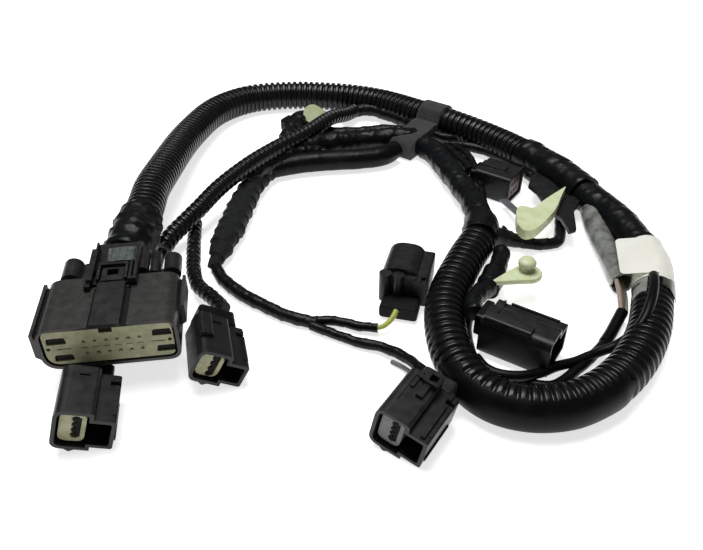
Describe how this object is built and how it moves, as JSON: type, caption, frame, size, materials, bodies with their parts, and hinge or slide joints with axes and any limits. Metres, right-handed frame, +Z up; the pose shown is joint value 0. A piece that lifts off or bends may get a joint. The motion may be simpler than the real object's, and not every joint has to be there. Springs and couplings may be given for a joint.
{
  "type": "wiring harness",
  "caption": "Vehicle wiring harness lying in a loop: corrugated conduit trunk, taped branches and leads ending in black plugs, nylon clips, a cloth tape band and a blank wrap label.",
  "frame": {"origin": "middle of the harness's bounding box, on the surface that it lies on", "axes": "+Z up, +Y from the main plug's mouth towards the far bend of the trunk, +X to the right in the picture"},
  "size_m": [0.2075, 0.2395, 0.0277],
  "materials": {
    "tape": "black PVC harness tape, slightly wrinkled",
    "conduit": "black corrugated polypropylene conduit",
    "fleece": "black fleece cloth tape, matte",
    "cloth_tape": "dark gray woven cloth tape",
    "yellow_wire": "yellow-green wire insulation",
    "gray_wire": "gray wire insulation",
    "pink_wire": "dusty pink wire insulation",
    "brown_wire": "olive brown wire insulation",
    "green_wire": "gray-green wire insulation",
    "gray_sleeve": "gray translucent sleeve, bare",
    "white_label": "white wrap label, blank",
    "plug_plastic": "black moulded nylon with a satin finish",
    "cream_insert": "cream moulded insert",
    "gray_insert": "gray moulded insert",
    "red_insert": "dark red moulded insert",
    "rear_seal": "gray-green silicone rear seal",
    "nylon": "natural cream nylon clip"
  },
  "bodies": {
    "root": {"main_rear_tape": "tape", "trunk_far_conduit": "conduit", "trunk_corner_tape": "tape", "trunk_near_conduit": "conduit", "junction_tape": "tape", "inner_branch_tape": "tape", "right_lead": "tape", "small_conduit": "conduit", "branch_b": "tape", "fleece_branch": "fleece", "flat_sleeve": "conduit", "upper_bundle": "tape", "lower_branch": "tape", "lead_c": "tape", "lead_d": "tape", "yellow_wire": "yellow_wire", "gray_wire": "gray_wire", "loop_branch": "tape", "lead_e": "tape", "clip_3_tape": "tape", "bundle_e": "tape", "lead_a": "tape", "lead_f": "tape", "wire_cover": "conduit", "pink_wire": "pink_wire", "brown_wire": "brown_wire", "green_wire": "green_wire", "id_sleeve": "gray_sleeve", "white_label": "white_label", "cloth_band": "cloth_tape", "main_housing": "plug_plastic", "main_insert": "cream_insert", "main_latch": "plug_plastic", "main_rear_seal": "rear_seal", "main_rear_cover": "plug_plastic", "plug_a_housing": "plug_plastic", "plug_a_insert": "cream_insert", "plug_a_rear_cap": "tape", "plug_b_housing": "plug_plastic", "plug_b_insert": "cream_insert", "plug_b_rear_cap": "tape", "plug_c_housing": "plug_plastic", "plug_c_insert": "gray_insert", "plug_c_rear_cap": "plug_plastic", "plug_d_housing": "plug_plastic", "plug_d_insert": "gray_insert", "plug_d_rear_cap": "plug_plastic", "plug_e_housing": "plug_plastic", "plug_e_insert": "gray_insert", "plug_e_rear_cap": "tape", "plug_f_housing": "plug_plastic", "plug_f_insert": "red_insert", "plug_f_rear_cap": "tape", "far_collar_tape": "cloth_tape", "clip_1_base": "tape", "clip_1": "nylon", "side_plate": "plug_plastic", "clip_2": "nylon", "clip_3": "nylon", "gray_ribbon": "gray_wire"}
  },
  "joints": []
}
